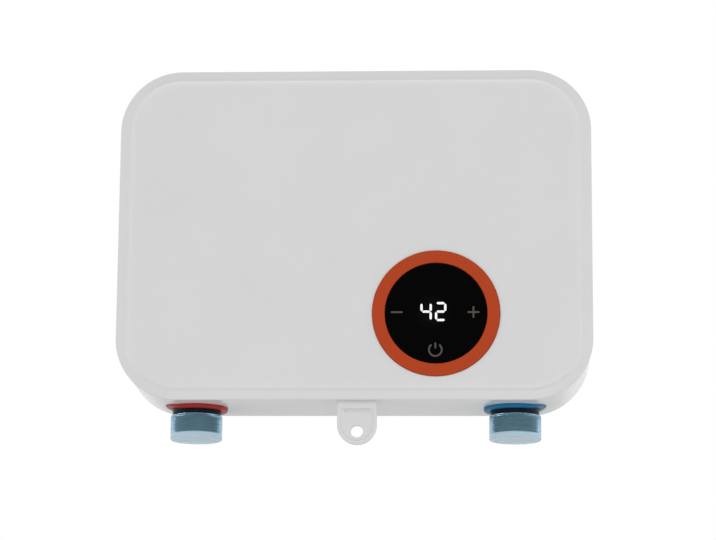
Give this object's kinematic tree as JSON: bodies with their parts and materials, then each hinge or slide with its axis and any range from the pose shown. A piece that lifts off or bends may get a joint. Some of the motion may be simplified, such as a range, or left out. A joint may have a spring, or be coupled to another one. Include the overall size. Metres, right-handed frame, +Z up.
{
  "type": "tankless electric water heater",
  "caption": "Flat wall-hung electric water heater with a round touch display, two water connections below with pull-off dust caps, and a screw ear.",
  "frame": {"origin": "centre of the casing's flat back, on the wall", "axes": "+Y out of the back into the wall, so the front with its display looks along -Y; +X to the right seen from the front; +Z up"},
  "size_m": [0.222, 0.0532, 0.1784],
  "materials": {
    "white_plastic": "satin",
    "orange_plastic": "matt, fine grain",
    "black_disc": "polished",
    "sign_print": "printed",
    "digit_light": "lit",
    "red_plastic": "satin",
    "blue_plastic": "satin",
    "black_nylon": "glass filled, matt",
    "clear_blue_plastic": "see-through",
    "white_nylon": "satin",
    "ivory_nylon": "satin",
    "dark_nylon": "glass filled, matt",
    "black_plastic": "satin",
    "grey_plastic": "satin",
    "yellow_plastic": "satin",
    "green_board": "solder mask",
    "rubber": "matt",
    "stainless_steel": "drawn tube",
    "zinc_steel": "zinc plated",
    "element_steel": "annealed",
    "spring_bronze": "bare",
    "brass": "turned",
    "aluminium": "sawn and drilled",
    "brown_insulation": "satin",
    "black_insulation": "satin",
    "blue_insulation": "satin",
    "green_yellow_insulation": "satin",
    "white_silicone": "matt",
    "grey_insulation": "satin"
  },
  "bodies": {
    "casing": {"rear_shell": "white_plastic", "lower_ear": "white_plastic", "front_cover": "white_plastic", "cover_seal": "rubber", "cover_screws": "zinc_steel", "bezel_ring": "orange_plastic", "display_lens": "black_disc", "key_signs": "sign_print", "lit_digits": "digit_light", "digit_module": "grey_plastic", "display_board": "green_board", "display_screws": "zinc_steel", "touch_springs": "spring_bronze", "display_ribbon": "grey_plastic", "outlet_collar": "red_plastic", "inlet_collar": "blue_plastic", "outlet_fitting": "black_nylon", "inlet_fitting": "black_nylon", "inlet_strainer": "white_nylon", "flow_sensor_body": "ivory_nylon", "hall_board": "green_board", "inlet_pipe": "stainless_steel", "outlet_pipe": "stainless_steel", "pipe_seals": "rubber", "heating_tank": "stainless_steel", "hot_end_cap": "dark_nylon", "cold_end_cap": "dark_nylon", "tank_gaskets": "rubber", "tie_rods": "zinc_steel", "tie_rod_nuts": "zinc_steel", "heating_element": "element_steel", "element_nuts": "brass", "tank_straps": "zinc_steel", "strap_screws": "zinc_steel", "cutout_saddle": "aluminium", "thermal_cutout": "black_plastic", "cutout_screws": "zinc_steel", "temperature_sensors": "brass", "power_board": "green_board", "board_screws": "zinc_steel", "relay": "black_plastic", "transformer": "yellow_plastic", "capacitor": "yellow_plastic", "triac": "black_plastic", "heat_sink": "aluminium", "terminal_block": "ivory_nylon", "terminal_screws": "zinc_steel", "cable_grommet": "rubber", "cable_clamp": "ivory_nylon", "clamp_screws": "zinc_steel", "live_lead": "brown_insulation", "switched_lead": "black_insulation", "neutral_lead": "blue_insulation", "earth_lead": "green_yellow_insulation", "element_leads": "white_silicone", "sensor_leads": "grey_insulation"},
    "outlet_cap": {"outlet_cap": "clear_blue_plastic"},
    "inlet_cap": {"inlet_cap": "clear_blue_plastic"},
    "flow_turbine": {"flow_turbine": "white_nylon"},
    "reset_button": {"reset_button": "red_plastic"}
  },
  "joints": [
    {"name": "outlet_cap_slide", "type": "slide", "parent": "casing", "child": "outlet_cap", "axis": [0, 0, -1], "range_m": [0, 0.045]},
    {"name": "inlet_cap_slide", "type": "slide", "parent": "casing", "child": "inlet_cap", "axis": [0, 0, -1], "range_m": [0, 0.045]},
    {"name": "flow_turbine_spin", "type": "hinge", "parent": "casing", "child": "flow_turbine", "pos_m": [0.075, -0.0235, -0.048], "axis": [0, 0, 1], "continuous": true},
    {"name": "reset_button_push", "type": "slide", "parent": "casing", "child": "reset_button", "axis": [0, 0, -1], "range_m": [0, 0.0012], "stiffness_N_per_m": 200}
  ]
}
